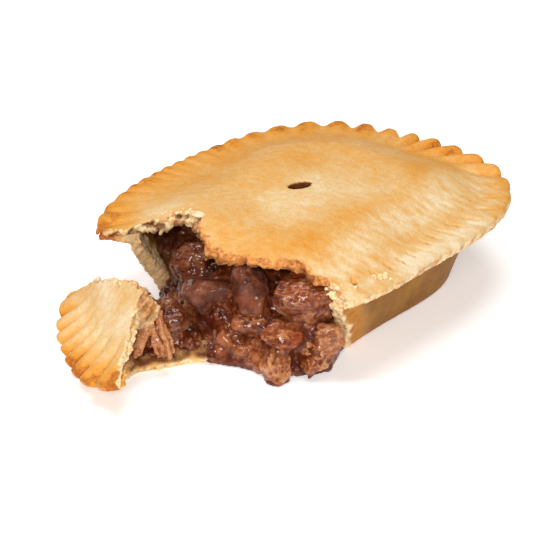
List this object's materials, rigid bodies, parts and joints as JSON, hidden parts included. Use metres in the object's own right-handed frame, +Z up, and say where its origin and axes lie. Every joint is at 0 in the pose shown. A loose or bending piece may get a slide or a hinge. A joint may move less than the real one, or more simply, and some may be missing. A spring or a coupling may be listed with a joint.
{
  "type": "steak and kidney pie",
  "caption": "Oblong short-crust pie with a crimped lid and a steam slit; one short end is broken off and tipped over, and its steak and kidney filling slumps out.",
  "frame": {"origin": "middle of the pie's base, on the surface that it stands on", "axes": "+Z up through the lid, +Y along the pie's length towards its whole end, the broken end faces -Y"},
  "size_m": [0.109, 0.1662, 0.0387],
  "materials": {
    "crust": "satin",
    "gravy": "gloss",
    "steak": "satin",
    "kidney": "satin"
  },
  "bodies": {
    "root": {"pastry_case": "crust", "pastry_lid": "crust", "end_lid": "crust", "end_case": "crust", "filling": "gravy", "end_filling": "gravy", "steak_chunk_1": "steak", "steak_chunk_2": "steak", "steak_chunk_3": "steak", "steak_chunk_4": "steak", "steak_chunk_5": "steak", "steak_chunk_6": "steak", "end_steak_chunk": "steak", "end_steak_strip_1": "steak", "end_steak_strip_2": "steak", "kidney_chunk_1": "kidney", "kidney_chunk_2": "kidney"}
  },
  "joints": []
}
